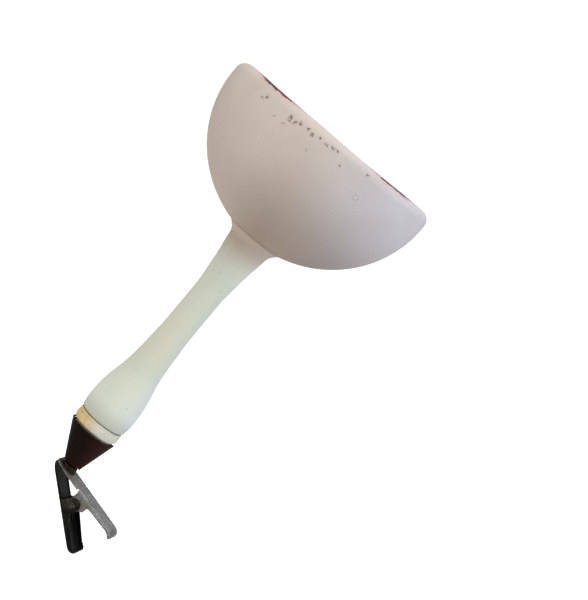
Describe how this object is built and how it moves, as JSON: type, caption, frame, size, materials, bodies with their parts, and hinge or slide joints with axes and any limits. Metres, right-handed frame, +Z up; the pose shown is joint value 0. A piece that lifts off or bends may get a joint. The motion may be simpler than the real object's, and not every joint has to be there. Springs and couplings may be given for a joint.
{
  "type": "clip-on tree ornament",
  "caption": "Blown-glass mushroom on a conical wire coil above a sprung two-lever clip that grips a twig.",
  "frame": {"origin": "between the clip's jaws where a twig is gripped, on the mushroom's axis", "axes": "+Z up along the mushroom's axis, +X towards the levers' finger ends, Y across the levers"},
  "size_m": [0.0678, 0.0678, 0.1363],
  "materials": {
    "cap_glass": "satin frosted paint, pinkish beige, with a dark cherry lacquer top",
    "stem_glass": "matt frosted paint, pale celadon",
    "plaster": "matt, yellowed cream plaster",
    "coil_wire": "dark brown lacquer",
    "solder": "dull solder",
    "worn_tin": "worn, mottled tinned sheet",
    "dark_tin": "blackened tinned sheet",
    "spring_steel": "dull spring wire"
  },
  "bodies": {
    "clip_carrier": {"carrier_lever": "worn_tin", "pivot_pin": "worn_tin", "torsion_spring": "spring_steel", "coil_foot_solder": "solder"},
    "clip_pinch": {"pinch_lever": "dark_tin"},
    "coil": {"coil_spring": "coil_wire"},
    "mushroom": {"glass_cap": "cap_glass", "cap_joint_cement": "plaster", "glass_stem": "stem_glass", "plaster_collar": "plaster"}
  },
  "joints": [
    {"name": "jaw_hinge", "type": "hinge", "parent": "clip_carrier", "child": "clip_pinch", "pos_m": [0.0098, -0.00135, -0.00405], "axis": [-0.2074, -0.9758, -0.0698], "range_deg": [0, 34], "stiffness_Nm_per_rad": 0.012, "springref_deg": -85.94, "deforming": ["torsion_spring"]},
    {"name": "coil_sway_side", "type": "hinge", "parent": "clip_carrier", "child": "coil", "pos_m": [0.001, 0, 0.0065], "axis": [0, 1, 0], "range_deg": [-15, 15], "stiffness_Nm_per_rad": 0.08, "deforming": ["coil_spring"]},
    {"name": "coil_sway_fore", "type": "hinge", "parent": "coil", "child": "mushroom", "pos_m": [0.0004, 0, 0.0115], "axis": [1, 0, 0], "range_deg": [-15, 15], "stiffness_Nm_per_rad": 0.08, "deforming": ["coil_spring"]}
  ]
}
